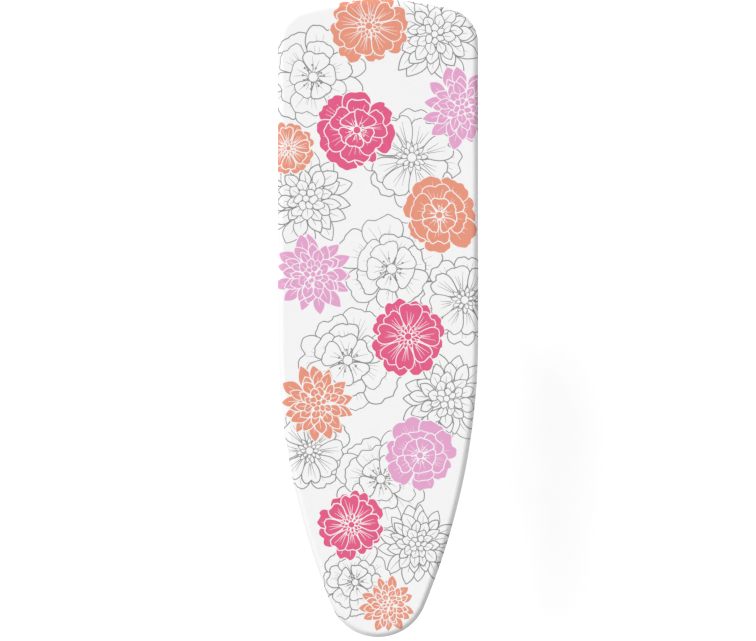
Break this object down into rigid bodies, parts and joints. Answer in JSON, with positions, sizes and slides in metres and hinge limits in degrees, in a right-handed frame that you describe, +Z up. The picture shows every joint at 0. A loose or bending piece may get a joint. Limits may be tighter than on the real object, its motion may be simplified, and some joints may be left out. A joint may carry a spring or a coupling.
{
  "type": "ironing board",
  "caption": "Free-standing ironing board: padded, pointed deck with a printed cover on folding crossed legs, with a hand lever that releases the height clamp.",
  "frame": {"origin": "on the floor, under the middle of the overall box", "axes": "+Z up, +Y along the deck towards its square heel, +X across the deck towards the release lever"},
  "size_m": [0.44, 1.3998, 0.9],
  "materials": {
    "cover_fabric": "white woven cotton with a floral print",
    "hem_elastic": "elastic cord, woven sheath",
    "pad_felt": "needle-felt padding",
    "deck_steel": "light grey powder coat",
    "frame_paint": "light silver-grey powder coat",
    "bright_steel": "bright zinc-plated steel",
    "zinc_fastener": "bright zinc",
    "dark_plastic": "fine-grained moulding",
    "white_nylon": "natural nylon",
    "lever_grip": "magenta soft-touch moulding",
    "foot_rubber": "matt rubber"
  },
  "bodies": {
    "board": {"fabric_cover": "cover_fabric", "hem_elastic": "hem_elastic", "foam_pad": "pad_felt", "mesh_top": "deck_steel", "rim_tube": "frame_paint", "brace_nose": "deck_steel", "brace_pivot": "deck_steel", "brace_rail_front": "deck_steel", "brace_rail_middle": "deck_steel", "brace_rail_rear": "deck_steel", "guide_rail": "deck_steel", "rail_block_front": "dark_plastic", "rail_block_rear": "dark_plastic", "guide_rod": "bright_steel", "pivot_bracket_left": "deck_steel", "pivot_bracket_right": "deck_steel", "bracket_rivets_left": "zinc_fastener", "bracket_rivets_right": "zinc_fastener", "pivot_bolt_left": "zinc_fastener", "pivot_bolt_right": "zinc_fastener", "pivot_nut_left": "zinc_fastener", "pivot_nut_right": "zinc_fastener"},
    "outer_leg": {"outer_foot_bar": "frame_paint", "outer_leg_tube_left": "frame_paint", "outer_leg_tube_right": "frame_paint", "outer_tube_plug_left": "dark_plastic", "outer_tube_plug_right": "dark_plastic", "outer_foot_cap_left": "foot_rubber", "outer_foot_cap_right": "foot_rubber", "pivot_bush_left": "white_nylon", "pivot_bush_right": "white_nylon", "crossing_bolt_left": "zinc_fastener", "crossing_bolt_right": "zinc_fastener", "crossing_nut_left": "zinc_fastener", "crossing_nut_right": "zinc_fastener", "crossing_spacer_left": "white_nylon", "crossing_spacer_right": "white_nylon"},
    "inner_leg": {"inner_foot_bar": "frame_paint", "inner_leg_crossbar": "frame_paint", "inner_leg_strut": "frame_paint", "inner_leg_tube_left": "frame_paint", "inner_leg_tube_right": "frame_paint", "inner_tube_plug_left": "dark_plastic", "inner_tube_plug_right": "dark_plastic", "inner_foot_cap_left": "foot_rubber", "inner_foot_cap_right": "foot_rubber"},
    "carriage": {"slide_carriage": "dark_plastic", "bearing_cap": "dark_plastic", "cap_screws": "zinc_fastener", "lever_pin": "zinc_fastener", "clamp_spring": "bright_steel", "lever_return_spring": "bright_steel"},
    "clamp_plates": {"clamp_plate_front": "bright_steel", "clamp_plate_rear": "bright_steel"},
    "release_lever": {"release_lever": "bright_steel", "lever_grip": "lever_grip"}
  },
  "joints": [
    {"name": "leg_fold", "type": "hinge", "parent": "board", "child": "outer_leg", "pos_m": [0, -0.334, 0.8505], "axis": [1, 0, 0], "range_deg": [-10, 52.06]},
    {"name": "leg_cross", "type": "hinge", "parent": "outer_leg", "child": "inner_leg", "pos_m": [0, -0.03889, 0.47193], "axis": [1, 0, 0], "range_deg": [-104.13, 20.01]},
    {"name": "carriage_tilt", "type": "hinge", "parent": "inner_leg", "child": "carriage", "pos_m": [0, 0.25621, 0.8505], "axis": [1, 0, 0], "range_deg": [-10.01, 52.07]},
    {"name": "lever_squeeze", "type": "hinge", "parent": "carriage", "child": "release_lever", "pos_m": [-0.0095, 0.22721, 0.8631], "axis": [0, 0, 1], "range_deg": [0, 6], "stiffness_Nm_per_rad": 2, "springref_deg": -2.86},
    {"name": "clamp_tilt", "type": "hinge", "parent": "carriage", "child": "clamp_plates", "pos_m": [-0.013, 0.20621, 0.87725], "axis": [0, 0, 1], "range_deg": [0, 5.01]}
  ],
  "couplings": [
    {"joint": "leg_cross", "follows": "leg_fold", "ratio": -2},
    {"joint": "carriage_tilt", "follows": "leg_fold", "ratio": 1},
    {"joint": "clamp_tilt", "follows": "lever_squeeze", "ratio": 0.83333}
  ]
}
